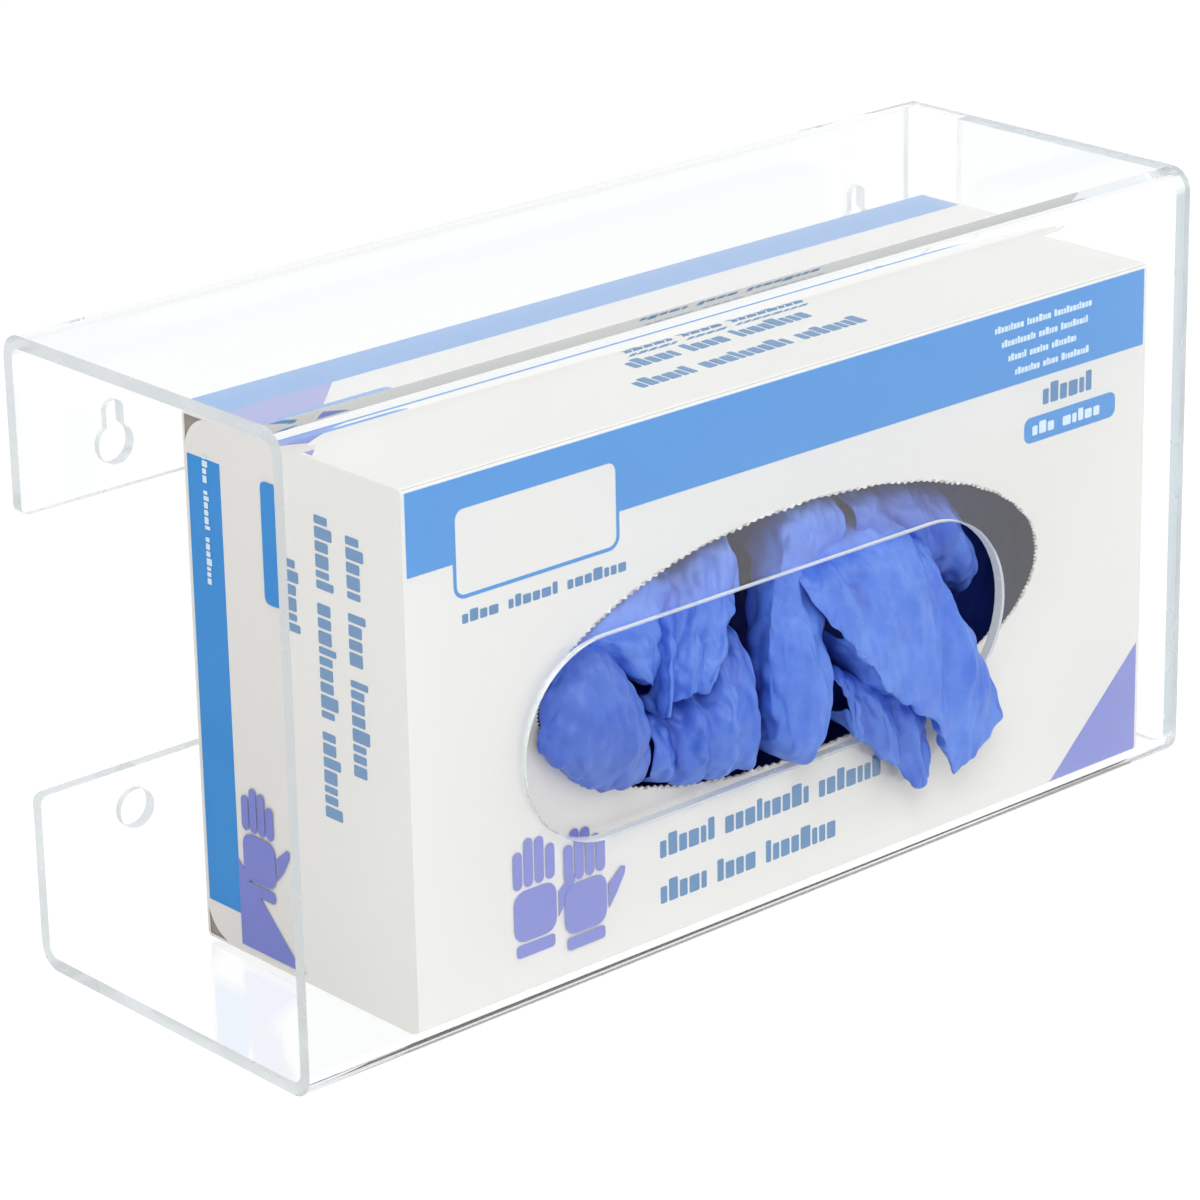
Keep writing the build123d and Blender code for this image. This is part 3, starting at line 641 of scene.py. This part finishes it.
@dataclass
class Gloves:
    """The gloves that are pulled part way out, each a crumpled film that hangs on its own folds.

    Attributes:
        film: The gloves' material.
        thickness: Thickness of the film that is shown.
        along: Steps along a fold.
        across: Steps from one fold to the next.
        fold_sharpness: How straight the film runs between folds, from 0 to 1.
        crumple: Height of the flat facets of crumpled film.
        crumple_pitch: Their size.
        facet_rim: Where the rim of a facet stands, as a share of its height.
        facet_slope: How fast it falls from there to its middle.
        wrinkle: Height of the fine wrinkles.
        wrinkle_pitch: Their spacing.
        wrinkle_stretch: How much closer than that they lie along each axis, so that they run down.
        ridge_slope: How narrow a wrinkle's ridge is.
        ridge_power: How sharp its top is.
        film_step: How far the crumple moves on from film to film, so that no two are alike.
        film_lift: Where in the noise the first film starts.
        calm_ends: How fast the crumple grows from a fold's ends, in folds' lengths.
        look_across: How many rows to each side a hollow is measured against.
        look_along: How many steps up and down.
        shade_reach: How deep a hollow must be for its painted shade to be full.
        push_shade: How much a millimetre of crumple takes off the painted shade, so that crests are
            lighter.
        mouth: Where, from the wall, painted shade starts on the film as it enters the carton.
        mouth_reach: How deep inside that painted shade is full.
        darkest: The most painted shade that a place gets.
        pack_face: Where the front of the pack lies, from the wall.
        pack_wave: How much further back every second fold of it lies.
    """

    film: bpy.types.Material
    thickness: float = 0.35
    along: int = 56
    across: int = 8
    fold_sharpness: float = 0.9
    crumple: float = 1.0
    crumple_pitch: float = 9.0
    facet_rim: float = 0.7
    facet_slope: float = 2.0
    wrinkle: float = 0.5
    wrinkle_pitch: float = 4.2
    wrinkle_stretch: tuple[float, float, float] = (1.7, 0.7, 0.7)
    ridge_slope: float = 3.2
    ridge_power: float = 0.8
    film_step: float = 7.3
    film_lift: float = 3.1
    calm_ends: float = 6.0
    look_across: int = 10
    look_along: int = 8
    shade_reach: float = 2.2
    push_shade: float = 0.16
    mouth: float = -87.0
    mouth_reach: float = 14.0
    darkest: float = 0.92
    pack_face: float = -63.8
    pack_wave: float = 1.5

    def along_fold(self, fold: list[Point]) -> list[Vector]:
        """Walk a smooth line through the points of one fold.

        Args:
            fold: Its points in order.

        Returns:
            Evenly stepped places on the line.
        """
        points = [Vector(p) for p in fold]
        points = [2 * points[0] - points[1], *points, 2 * points[-1] - points[-2]]
        spans = len(points) - 3
        walked = []
        for step in range(self.along + 1):
            reach = step / self.along * spans
            span = min(int(reach), spans - 1)
            t = reach - span
            a, b, c, d = points[span:span + 4]
            walked.append(0.5 * (2 * b + (c - a) * t + (2 * a - 5 * b + 4 * c - d) * t * t
                                 + (3 * b - a - 3 * c + d) * t ** 3))
        return walked

    def grid(self, folds: list[list[Point]]) -> list[list[Vector]]:
        """Stretch film over a row of folds: creased along each fold, nearly flat between them.

        Args:
            folds: The film's folds, side by side.

        Returns:
            The film's places, row by row, each row along a fold.
        """
        lines = [self.along_fold(fold) for fold in folds]
        rows = []
        for left, right in zip(lines, lines[1:]):
            for step in range(self.across):
                t = step / self.across
                rounded = t * t * (3 - 2 * t)
                t = self.fold_sharpness * t + (1 - self.fold_sharpness) * rounded
                rows.append([a.lerp(b, t) for a, b in zip(left, right)])
        return rows + [lines[-1]]

    def relief(self, place: Vector, number: int) -> float:
        """Tell how far the crumple stands off the smooth film.

        Args:
            place: A place on the smooth film.
            number: Which of the glove's films it is on.

        Returns:
            Its height in millimetres.
        """
        shift = Vector((self.film_step * number, 0, self.film_lift))
        nearest = noise.voronoi(place / self.crumple_pitch + shift)[0]
        facet = self.facet_rim - (nearest[1] - nearest[0]) * self.facet_slope
        stretched = Vector([a * b for a, b in zip(place, self.wrinkle_stretch)])
        wave = abs(noise.noise(stretched / self.wrinkle_pitch + shift))
        ridge = 1 - self.ridge_slope * wave ** self.ridge_power
        return facet * self.crumple + ridge * self.wrinkle

    def painted_fold_shade(self, rows: list[list[Vector]], i: int, j: int, push: float) -> float:
        """Tell how much painted shade the film gets in a hollow of its folds or inside the carton.

        Args:
            rows: The film's smooth places.
            i: The place's row.
            j: Its step along the row.
            push: How far the crumple stands off there.

        Returns:
            The painted shade, from 0 up.
        """
        place, width = rows[i][j], len(rows[i])
        beside = range(max(i - self.look_across, 0), min(i + self.look_across + 1, len(rows)),
                       self.look_across // 2)
        above = range(max(j - self.look_along, 0), min(j + self.look_along + 1, width),
                      self.look_along // 2)
        near = [rows[k][j].y for k in beside] + [rows[i][k].y for k in above]
        hollow = (place.y - sum(near) / len(near)) / self.shade_reach - self.push_shade * push
        inside = (place.y - self.mouth) / self.mouth_reach
        return max(hollow, 0.0) + max(inside, 0.0)

    def film_mesh(self, name: str, films: list[list[list[Point]]]) -> bpy.types.Object:
        """Make one glove's mesh from its films.

        Args:
            name: The glove's name.
            films: Its films, each a row of folds.

        Returns:
            The new object, in metres.
        """
        corners, faces, painted_shades = [], [], []
        for number, folds in enumerate(films):
            rows = self.grid(folds)
            start, width = len(corners), len(rows[0])
            # Painted shade for this whole film, where the glove lies in shade.
            film_shade = PAINTED_FILM_SHADE[name][number]
            for i, row in enumerate(rows):
                for j, place in enumerate(row):
                    before, after = rows[max(i - 1, 0)][j], rows[min(i + 1, len(rows) - 1)][j]
                    up, down = row[max(j - 1, 0)], row[min(j + 1, width - 1)]
                    normal = (after - before).cross(down - up).normalized()
                    free = min(1.0, min(j, width - 1 - j) / width * self.calm_ends)
                    push = self.relief(place, number)
                    corners.append((place + normal * push * free) * MM)
                    # Painted shade: darker in hollows between folds, inside the carton and on films
                    # that lie in shade.
                    painted_shades.append(min(self.painted_fold_shade(rows, i, j, push) + film_shade, self.darkest))
            for i in range(len(rows) - 1):
                for j in range(width - 1):
                    a = start + i * width + j
                    faces.append((a, a + width, a + width + 1, a + 1))
        mesh = bpy.data.meshes.new(name + "_film")
        mesh.from_pydata([tuple(c) for c in corners], [], faces)
        mesh.update()
        shade = mesh.attributes.new("painted_fold_shade", "FLOAT", "POINT")
        shade.data.foreach_set("value", painted_shades)
        for face in mesh.polygons:
            face.use_smooth = True
        mesh.materials.append(self.film)
        glove = bpy.data.objects.new(name + "_film", mesh)
        bpy.context.collection.objects.link(glove)
        wall = glove.modifiers.new("wall", "SOLIDIFY")
        wall.thickness = self.thickness * MM
        wall.offset = 0.0
        soft = glove.modifiers.new("soft", "SUBSURF")
        soft.levels = soft.render_levels = 1
        return glove

    def stack_folds(self, first: float = -92.0, last: float = 105.0,
                    count: int = 13) -> list[list[Point]]:
        """Give the folds of the stack's outermost glove, which wraps the pack from foot to top.

        Args:
            first: Place of the first fold along the carton.
            last: Place of the last fold.
            count: How many folds there are.

        Returns:
            The folds, in order.
        """
        folds = []
        for number in range(count):
            x = first + (last - first) * number / (count - 1)
            face = self.pack_face + self.pack_wave * (number % 2)
            folds.append([
                (x, -24, -62), (x, -42, -66.5), (x, face + 4, -63), (x, face, -45),
                (x + 1.5, face - 0.4, -15), (x, face + 0.4, 8), (x, face + 4, 31),
                (x, -42, 36), (x, -24, 32)])
        return folds

    def build(self) -> None:
        """Make every glove and set it in place of its CAD solid."""
        for name, films in (GLOVE_FOLDS | {"glove_stack": [self.stack_folds()]}).items():
            glove = self.film_mesh(name, films)
            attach(glove, "root")
            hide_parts(name)
            LOG.info("%s built", name)


class Face(Enum):
    """Which wall of the carton a mark is printed on."""

    FRONT = "front"
    LEFT_END = "left_end"
    TOP = "top"


# A plain sign of a glove, in thirtieths of its height. Each bar has its place along and up, its
# length, its height and the radius of its corners.
SIGN_PARTS = 30.0
SIGN_BARS = {
    "cuff": (0.0, 0.0, 11.0, 3.0, 0.8),
    "palm": (-0.6, 3.6, 12.2, 12.0, 3.0),
    "little_finger": (-0.6, 16.2, 2.6, 9.0, 1.3),
    "ring_finger": (2.5, 16.2, 2.6, 11.5, 1.3),
    "middle_finger": (5.6, 16.2, 2.6, 11.0, 1.3),
    "forefinger": (8.7, 16.2, 2.6, 8.5, 1.3),
}
SIGN_THUMB = ((12.2, 6.5), (14.5, 9.5), (17.0, 13.6), (17.2, 15.2), (16.0, 15.6), (14.0, 13.8),
              (12.2, 12.4))


@dataclass
class CartonPrint:
    """The carton's small printing: rows of blocks, ribbons and a plain glove sign.

    Marks are measured on their wall in millimetres: along it from the carton's left or back edge,
    up from its lower or front edge.

    Attributes:
        left: The carton's left end.
        front: Its front face.
        back: Its back face.
        foot: Its underside.
        top: Its top.
        ink: How far the ink's face stands off its wall, thicker than real ink so that it shows.
        ink_depth: Thickness of the ink, a little less, so that its back stays off the wall.
        on_solid: How much higher ink lies that is printed over a solid field.
        on_mark: How much higher it lies over another mark.
        over: How much higher the next marks lie.
        block: Width of a block.
        block_widths: Shares of that width, which the blocks of a row take in turn.
        block_gap: Space between blocks.
        group_gap: Further space between groups.
        block_corner: Radius of a block's corners.
        tall_block: Height of a tall block, to that of a low one.
        tall_every: The second of so many blocks is tall.
        title: Blocks in the groups of the first large row.
        subtitle: Blocks in the groups of the second large row.
        size_mark: Blocks in the row over the ribbon.
        under_field: Blocks in the row under the blank field.
        small_print: Blocks in the rows of small print.
        made: The patches laid since the last piece was joined.
    """

    left: float = -103.7
    front: float = -88.0
    back: float = -18.0
    foot: float = -68.75
    top: float = 51.25
    ink: float = 0.1
    ink_depth: float = 0.09
    on_solid: float = 0.15
    on_mark: float = 0.3
    over: float = 0.0
    block: float = 2.5
    block_widths: tuple[float, ...] = (0.72, 1.0, 0.88, 1.15, 0.6)
    block_gap: float = 0.65
    group_gap: float = 2.6
    block_corner: float = 0.35
    tall_block: float = 1.32
    tall_every: int = 4
    title: tuple[int, ...] = (6, 9, 7)
    subtitle: tuple[int, ...] = (5, 4, 8)
    size_mark: tuple[int, ...] = (6,)
    under_field: tuple[int, ...] = (4, 6, 7)
    small_print: tuple[tuple[int, ...], ...] = ((9, 8, 12), (11, 6, 9), (6, 6, 8), (8, 5, 9))
    made: list[bpy.types.Object] = field(default_factory=list)

    def lay(self, wall: Face, points: list[tuple[float, float]]) -> None:
        """Lay one flat patch of ink on a wall.

        Args:
            wall: The wall that it is printed on.
            points: Its corners, anticlockwise to someone who faces the wall.
        """
        lift = self.ink + self.over
        if wall is Face.FRONT:
            places = [(self.left + u, self.front - lift, self.foot + v) for u, v in points]
        elif wall is Face.LEFT_END:
            places = [(self.left - lift, self.back - u, self.foot + v) for u, v in points]
        else:
            places = [(self.left + u, self.front + v, self.top + lift) for u, v in points]
        mesh = bpy.data.meshes.new("ink_patch")
        mesh.from_pydata([tuple(c * MM for c in p) for p in places], [],
                         [tuple(range(len(places)))])
        patch = bpy.data.objects.new("ink_patch", mesh)
        bpy.context.collection.objects.link(patch)
        self.made.append(patch)

    def bar(self, wall: Face, u: float, v: float, length: float, height: float,
            round_end: float) -> None:
        """Lay one bar with rounded corners.

        Args:
            wall: The wall that it is printed on.
            u: Place of its lower left corner along the wall.
            v: Place of that corner up the wall.
            length: Its length along the wall.
            height: Its height.
            round_end: Radius of its corners, at most.
        """
        r = min(round_end, length / 2, height / 2)
        corners = []
        for cu, cv, turn in ((u + length - r, v + r, -90), (u + length - r, v + height - r, 0),
                             (u + r, v + height - r, 90), (u + r, v + r, 180)):
            for step in (0, 30, 60, 90):
                angle = math.radians(turn + step)
                corners.append((cu + r * math.cos(angle), cv + r * math.sin(angle)))
        self.lay(wall, corners)

    def row(self, wall: Face, u: float, v: float, blocks: tuple[int, ...], height: float,
            upright: bool = False, scale: float = 1.0) -> None:
        """Lay a row of plain blocks in groups.

        Args:
            wall: The wall that they are printed on.
            u: Where the row starts along the wall.
            v: Its base line.
            blocks: How many blocks each group of the row has.
            height: The height of a low block.
            upright: Whether the row runs down the wall instead of along it.
            scale: The row's scale.
        """
        place, count = 0.0, 0
        corner = self.block_corner * scale
        for group in blocks:
            for _ in range(group):
                width = self.block * scale * self.block_widths[count % len(self.block_widths)]
                tall = height * (self.tall_block if count % self.tall_every == 1 else 1.0)
                if upright:
                    self.bar(wall, u, v - place - width, tall, width, corner)
                else:
                    self.bar(wall, u + place, v, width, tall, corner)
                place += width + self.block_gap * scale
                count += 1
            place += self.group_gap * scale

    def glove_sign(self, wall: Face, u: float, v: float, size: float) -> None:
        """Lay a plain sign of a glove: a palm with a cuff, four fingers and a thumb.

        Args:
            wall: The wall that it is printed on.
            u: Its left side.
            v: Its foot.
            size: Its height.
        """
        s = size / SIGN_PARTS
        for along, up, length, height, corner in SIGN_BARS.values():
            self.bar(wall, u + along * s, v + up * s, length * s, height * s, corner * s)
        self.lay(wall, [(u + a * s, v + b * s) for a, b in SIGN_THUMB])

    def finish(self, name: str, material: bpy.types.Material, slot: str, *replaced: str) -> None:
        """Join the patches laid so far into one piece of that ink.

        Args:
            name: The piece's name.
            material: Its ink.
            slot: The record's material slot that the ink belongs to. It is not used.
            *replaced: The CAD nodes that it stands for.
        """
        bpy.ops.object.select_all(action="DESELECT")
        for patch in self.made:
            patch.select_set(True)
        bpy.context.view_layer.objects.active = self.made[0]
        bpy.ops.object.join()
        piece = bpy.context.object
        piece.name = name
        layer = piece.modifiers.new("ink", "SOLIDIFY")
        layer.thickness = self.ink_depth * MM
        layer.offset = -1.0
        piece.data.materials.append(material)
        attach(piece, "root")
        if replaced:
            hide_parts(*replaced)
        self.made = []
        LOG.info("%s built", name)

    def build(self, slate: bpy.types.Material, pale: bpy.types.Material,
              periwinkle: bpy.types.Material, cyan: bpy.types.Material) -> None:
        """Print every small mark, ink by ink.

        Args:
            slate: Ink of the large rows.
            pale: Look of what is left unprinted in a solid field.
            periwinkle: Ink of the glove signs.
            cyan: Ink of the ribbons.
        """
        self.row(Face.FRONT, 68, 19.5, self.title, 3.9)
        self.row(Face.FRONT, 68, 8.8, self.subtitle, 3.9)
        self.row(Face.FRONT, 186, 94.2, self.size_mark, 3.6)
        self.row(Face.FRONT, 15, 87.6, self.under_field, 2.0, scale=0.85)
        self.row(Face.LEFT_END, 42, 108, self.title, 4.2, upright=True)
        self.row(Face.LEFT_END, 52, 106, self.subtitle, 4.2, upright=True)
        self.row(Face.LEFT_END, 32, 96, self.size_mark, 3.0, upright=True)
        self.row(Face.TOP, 78, 14, self.title, 3.9)
        self.row(Face.TOP, 86, 25, self.subtitle, 3.9)
        self.finish("grey_print_words", slate, "grey_ink", "grey_print")
        self.over = self.on_solid
        for line, blocks in enumerate(self.small_print):
            self.row(Face.FRONT, 170 + 2.2 * line, 114.2 - 3.6 * line, blocks, 1.25, scale=0.36)
        self.row(Face.FRONT, 182.5, 87.7, (3, 5), 2.2, scale=0.9)
        self.row(Face.LEFT_END, 6.5, 112, self.under_field, 1.3, upright=True, scale=0.55)
        self.finish("small_pale_print", pale, "carton_board")
        self.glove_sign(Face.FRONT, 27, 9, 29)
        self.over = self.on_mark
        self.glove_sign(Face.FRONT, 41, 6.5, 29)
        self.glove_sign(Face.LEFT_END, 15, 15, 27)
        self.over = self.on_solid
        self.lay(Face.LEFT_END, [(12.4, 2.0), (33.0, 2.0), (12.4, 22.0)])
        self.finish("glove_signs", periwinkle, "lilac_ink")
        self.bar(Face.LEFT_END, 26, 84, 5.5, 27, 1.5)
        self.bar(Face.TOP, 6, 40, 30, 6.0, 1.5)
        self.finish("size_ribbons", cyan, "blue_ink")


@dataclass
class TornEdge:
    """The torn edge of the carton's oval: teeth of bare board where the perforation gave way.

    Attributes:
        centre: The oval's centre, along the length and up.
        half: Half its length and height.
        front: The carton's front face.
        board: Thickness of the teeth.
        teeth: How many teeth there are.
        tooth: Length of a tooth.
        root: Share of that length that even the gaps between teeth keep.
        patch: How many uneven patches go round the oval, as a radius in the noise.
        uneven: How much the teeth's length varies from patch to patch.
        patch_level: Where in the noise that ring of patches lies.
        tuck: How far the teeth reach into the board, so that no gap shows.
        sunk: How far they lie behind the front face.
        curl: How far every second corner bends out.
    """

    centre: tuple[float, float] = (6.3, -8.75)
    half: tuple[float, float] = (75.0, 30.0)
    front: float = -88.0
    board: float = 0.4
    teeth: int = 210
    tooth: float = 0.75
    root: float = 0.35
    patch: float = 9.0
    uneven: float = 0.9
    patch_level: float = 0.7
    tuck: float = 0.05
    sunk: float = 0.02
    curl: float = 0.12

    def build(self, board: bpy.types.Material) -> None:
        """Make the ring of teeth, from just inside the board's cut edge.

        Args:
            board: The torn board's material.
        """
        inner, outer = [], []
        for step in range(2 * self.teeth):
            angle = math.pi * step / self.teeth
            across, up = math.cos(angle), math.sin(angle)
            ragged = noise.noise(Vector((self.patch * across, self.patch * up, self.patch_level)))
            length = self.root + (1 - self.root) * (step % 2)
            reach = self.tooth * length * (1 + self.uneven * ragged)
            for ring, shift in ((outer, self.tuck), (inner, -reach)):
                ring.append((self.centre[0] + (self.half[0] + shift) * across,
                             self.centre[1] + (self.half[1] + shift) * up))
        places = [(x * MM, (self.front + self.sunk) * MM, z * MM) for x, z in outer]
        places += [(x * MM, (self.front - self.curl * (i % 2)) * MM, z * MM)
                   for i, (x, z) in enumerate(inner)]
        count = len(outer)
        faces = [(i, (i + 1) % count, count + (i + 1) % count, count + i) for i in range(count)]
        mesh = bpy.data.meshes.new("torn_edge")
        mesh.from_pydata(places, [], faces)
        mesh.materials.append(board)
        edge = bpy.data.objects.new("torn_edge", mesh)
        bpy.context.collection.objects.link(edge)
        wall = edge.modifiers.new("board", "SOLIDIFY")
        wall.thickness = self.board * MM
        wall.offset = -1.0
        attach(edge, "root")
        LOG.info("torn_edge built")


def to_the_eye(tree: bpy.types.NodeTree) -> bpy.types.NodeSocket:
    """Tell rays that end in the eye, straight, by a reflection or through clear sheet.

    Args:
        tree: The tree of a material or the world.

    Returns:
        A socket that is 1 for such rays and 0 for light that falls on the object.
    """
    path = node(tree, "ShaderNodeLightPath")
    seen = node(tree, "ShaderNodeMath", links={
        0: path.outputs["Is Camera Ray"], 1: path.outputs["Is Glossy Ray"]}, operation="MAXIMUM")
    return node(tree, "ShaderNodeMath", links={
        0: seen.outputs[0], 1: path.outputs["Is Transmission Ray"]},
        operation="MAXIMUM").outputs[0]


@dataclass
class Studio:
    """Camera, lamps, world and floor.

    Attributes:
        place: The camera's place.
        azimuth: Which way it looks, in radians from the wall's normal.
        elevation: How far down it looks, in radians.
        roll: How far it leans, in radians.
        focal_pixels: Its focal length in pixels of the photograph.
        image_pixels: The photograph's width and height.
        sensor: The sensor's width.
        centre_row: The photograph's row that the camera looks straight at.
        floor_drop: How far the floor lies under the middle of the holder.
        floor_size: The floor's width, in metres.
        floor_glow: Light of the floor to the eye alone, which brings it to white.
        room_light: Strength of the light that the room gives.
        background: Strength of the white that the eye sees.
    """

    place: tuple[float, float, float] = (-655.4, -771.8, 358.35)
    azimuth: float = 0.7246066
    elevation: float = 0.3567251
    roll: float = 0.0197733
    focal_pixels: float = 4694.41
    image_pixels: float = 1200.0
    sensor: float = 36.0
    centre_row: float = 579.40
    floor_drop: float = 260.0
    floor_size: float = 12.0
    floor_glow: float = 0.34
    room_light: float = 0.62
    background: float = 1.0

    def camera(self) -> None:
        """Stand the camera where the photograph was taken from."""
        sin_a, cos_a = math.sin(self.azimuth), math.cos(self.azimuth)
        sin_e, cos_e = math.sin(self.elevation), math.cos(self.elevation)
        ahead = Vector((sin_a * cos_e, cos_a * cos_e, -sin_e))
        level = Vector((cos_a, -sin_a, 0.0))
        down = ahead.cross(level)
        right = math.cos(self.roll) * level + math.sin(self.roll) * down
        down = math.cos(self.roll) * down - math.sin(self.roll) * level
        data = bpy.data.cameras.new("camera")
        data.sensor_width = self.sensor
        data.lens = self.focal_pixels / self.image_pixels * self.sensor
        data.shift_y = (self.centre_row - self.image_pixels / 2) / self.image_pixels
        data.clip_end = 20.0
        camera = bpy.data.objects.new("camera", data)
        turn = Matrix((right, -down, -ahead)).transposed()
        camera.matrix_world = Matrix.Translation(Vector(self.place) * MM) @ turn.to_4x4()
        bpy.context.collection.objects.link(camera)
        bpy.context.scene.camera = camera

    def lamp(self, name: str, place: tuple[float, float, float], size: float,
             power: float) -> None:
        """Hang one square soft lamp that looks at the object.

        Args:
            name: The lamp's name.
            place: Where it hangs, in metres.
            size: Its width, in metres.
            power: Its power, in watts.
        """
        data = bpy.data.lights.new(name, "AREA")
        data.size = size
        data.energy = power
        lamp = bpy.data.objects.new(name, data)
        lamp.location = place
        lamp.rotation_euler = (-Vector(place)).to_track_quat("-Z", "Y").to_euler()
        bpy.context.collection.objects.link(lamp)

    def floor(self) -> None:
        """Lay the pale floor under the holder, white to the eye and shaded under the object."""
        bpy.ops.object.select_all(action="DESELECT")
        bpy.ops.mesh.primitive_plane_add(size=self.floor_size, location=(0, 0, 0))
        floor = bpy.context.object
        floor.name = "floor"
        bpy.ops.object.mode_set(mode="EDIT")
        bpy.ops.transform.translate(value=(0, 0, -self.floor_drop * MM))
        bpy.ops.object.mode_set(mode="OBJECT")
        material, tree, output = empty_material("pale_floor")
        paint = node(tree, "ShaderNodeBsdfPrincipled", {
            "Base Color": linear("#FAFAFA"), "Roughness": 0.9})
        glow = node(tree, "ShaderNodeMath", {1: self.floor_glow}, {0: to_the_eye(tree)},
                    operation="MULTIPLY")
        white = node(tree, "ShaderNodeEmission", {"Color": (1, 1, 1, 1)},
                     {"Strength": glow.outputs[0]})
        both = node(tree, "ShaderNodeAddShader", links={
            0: paint.outputs["BSDF"], 1: white.outputs[0]})
        tree.links.new(both.outputs[0], output.inputs["Surface"])
        floor.data.materials.append(material)

    def world(self) -> None:
        """Fill the room with plain white light and a white background."""
        world = bpy.data.worlds.new("room")
        bpy.context.scene.world = world
        world.use_nodes = True
        tree = world.node_tree
        tree.nodes.clear()
        strength = node(tree, "ShaderNodeMapRange", {
            "To Min": self.room_light, "To Max": self.background},
            {"Value": to_the_eye(tree)})
        back = node(tree, "ShaderNodeBackground", {"Color": (1, 1, 1, 1)},
                    {"Strength": strength.outputs[0]})
        output = node(tree, "ShaderNodeOutputWorld")
        tree.links.new(back.outputs[0], output.inputs["Surface"])

    def build(self) -> None:
        """Set up the whole studio."""
        self.camera()
        self.floor()
        self.world()
        self.lamp("key_lamp", place=(-0.9, -1.3, 1.5), size=1.2, power=16.0)
        self.lamp("fill_lamp", place=(1.4, -1.0, 0.8), size=1.2, power=5.0)
        bpy.context.scene.view_settings.view_transform = "Standard"


def main() -> None:
    """Build the studio and the object, piece by piece."""
    logging.basicConfig(level=logging.INFO)
    Studio().build()
    dress("holder_sheet", ClearAcrylic().build())
    dress("end_plate", ClearAcrylic("cast_acrylic_flat_plate", faces_the_side=True).build())
    low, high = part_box("carton")
    dress("carton", CoatedBoard(tuple(low), tuple(high)).build())
    cyan = OffsetInk("cyan_blue_ink", "#0C8AD8", "#0884D2").build()
    slate = OffsetInk("slate_blue_ink", "#3F7FB4", "#3876AA").build()
    pale = OffsetInk("unprinted_white", "#DDEFFA", "#D3E8F6").build()
    periwinkle = OffsetInk("periwinkle_ink", "#7A82D0", "#727ACA").build()
    dress("blue_print", cyan)
    dress("lilac_print", periwinkle)
    LOG.info("holder and carton dressed")
    CartonPrint().build(slate, pale, periwinkle, cyan)
    TornEdge().build(BareBoard().build())
    Gloves(NitrileFilm().build()).build()


if __name__ == "__main__":
    main()
